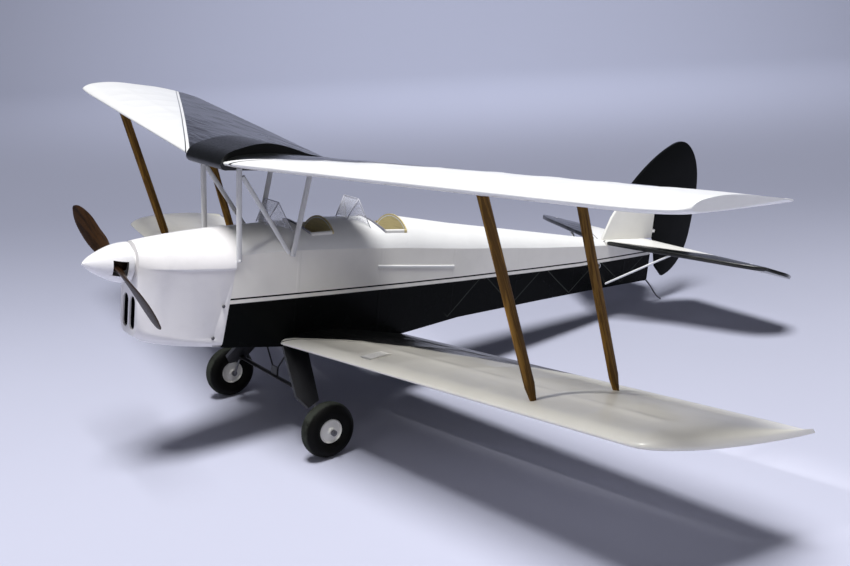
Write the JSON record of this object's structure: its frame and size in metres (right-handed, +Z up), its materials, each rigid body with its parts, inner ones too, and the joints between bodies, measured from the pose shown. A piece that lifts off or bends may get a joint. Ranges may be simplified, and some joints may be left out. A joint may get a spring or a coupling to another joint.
{
  "type": "rubber powered model biplane",
  "caption": "Stick-and-tissue flying scale biplane: rubber motor, wooden propeller in a spinner, open cockpits, interplane struts and black sunburst panels.",
  "frame": {"origin": "centre of the footprint on the floor, with the wheels and the tail skid on it", "axes": "+X to the model's port wing tip, +Y aft from nose to tail, +Z up"},
  "size_m": [0.8954, 0.722, 0.2705],
  "materials": {
    "white_dope": "white doped tissue, satin",
    "black_dope": "black doped tissue, glossy",
    "cowl_gloss": "glossy white moulding",
    "frame_wood": "bare light balsa",
    "strut_wood": "reddish brown stain, varnished",
    "prop_wood": "dark stained and varnished",
    "straw_card": "bare thin sheet wood",
    "grey_card": "dark grey, satin",
    "clear_sheet": "thin clear sheet",
    "gear_black": "gloss black paint",
    "steel_wire": "music wire",
    "brass_bush": "turned",
    "plug_plastic": "white moulding",
    "peg_tube": "drawn tube",
    "rubber_strip": "tan rubber strip",
    "tyre": "foam-soft black rubber",
    "hub_grey": "light grey"
  },
  "bodies": {
    "airframe": {"axle_port": "steel_wire", "axle_starboard": "steel_wire", "belly_cover": "black_dope", "cabane_braces": "white_dope", "cabane_struts_front": "white_dope", "cabane_struts_rear": "white_dope", "centre_tank": "black_dope", "cockpit_backs": "straw_card", "cockpit_coamings": "grey_card", "cockpit_trays": "grey_card", "cowl": "cowl_gloss", "cowl_screws": "steel_wire", "deck_cover": "white_dope", "fin": "white_dope", "formers": "frame_wood", "front_strut_port": "strut_wood", "front_strut_starboard": "strut_wood", "front_windscreen": "clear_sheet", "fuselage_frame": "frame_wood", "gear_leg_port": "gear_black", "gear_leg_starboard": "gear_black", "gear_spreader": "gear_black", "hinge_tabs": "white_dope", "lower_wing_cover_port": "white_dope", "lower_wing_cover_starboard": "white_dope", "lower_wing_frame_port": "frame_wood", "lower_wing_frame_starboard": "frame_wood", "motor_peg": "peg_tube", "nose_bulkheads": "frame_wood", "rear_strut_port": "strut_wood", "rear_strut_starboard": "strut_wood", "rear_windscreen": "clear_sheet", "rubber_motor": "rubber_strip", "side_cover_port": "black_dope", "side_cover_starboard": "black_dope", "side_strips": "white_dope", "stabilizer": "white_dope", "tail_brace_port": "white_dope", "tail_brace_starboard": "white_dope", "tail_skid": "steel_wire", "upper_wing_cover_port": "white_dope", "upper_wing_cover_starboard": "white_dope", "upper_wing_frame_port": "frame_wood", "upper_wing_frame_starboard": "frame_wood"},
    "nose_plug": {"nose_plug": "plug_plastic", "thrust_bearing": "brass_bush"},
    "propeller": {"propeller": "prop_wood", "spinner": "cowl_gloss", "prop_shaft": "steel_wire", "thrust_washers": "brass_bush"},
    "wheel_port": {"tyre_port": "tyre", "wheel_hub_port": "hub_grey"},
    "wheel_starboard": {"tyre_starboard": "tyre", "wheel_hub_starboard": "hub_grey"},
    "rudder": {"rudder": "black_dope", "rudder_pin": "steel_wire"},
    "elevators": {"elevator_port": "white_dope", "elevator_starboard": "white_dope", "elevator_rod": "steel_wire"}
  },
  "joints": [
    {"name": "nose_plug_slide", "type": "slide", "parent": "airframe", "child": "nose_plug", "axis": [0, -0.9858, 0.1681], "range_m": [0, 0.05], "deforming": ["rubber_motor"]},
    {"name": "prop_spin", "type": "hinge", "parent": "nose_plug", "child": "propeller", "pos_m": [0, -0.33581, 0.17772], "axis": [0, 0.9858, -0.1681], "continuous": true, "deforming": ["rubber_motor"]},
    {"name": "wheel_port_spin", "type": "hinge", "parent": "airframe", "child": "wheel_port", "pos_m": [0.0893, -0.20541, 0.024], "axis": [1, 0, 0], "continuous": true},
    {"name": "wheel_starboard_spin", "type": "hinge", "parent": "airframe", "child": "wheel_starboard", "pos_m": [-0.0893, -0.20541, 0.024], "axis": [1, 0, 0], "continuous": true},
    {"name": "rudder_hinge", "type": "hinge", "parent": "airframe", "child": "rudder", "pos_m": [0, 0.28976, 0.0913], "axis": [0, 0.1681, 0.9858], "range_deg": [-25, 25]},
    {"name": "elevator_hinge", "type": "hinge", "parent": "airframe", "child": "elevators", "pos_m": [0, 0.27496, 0.07708], "axis": [1, 0, 0], "range_deg": [-12, 28]}
  ]
}
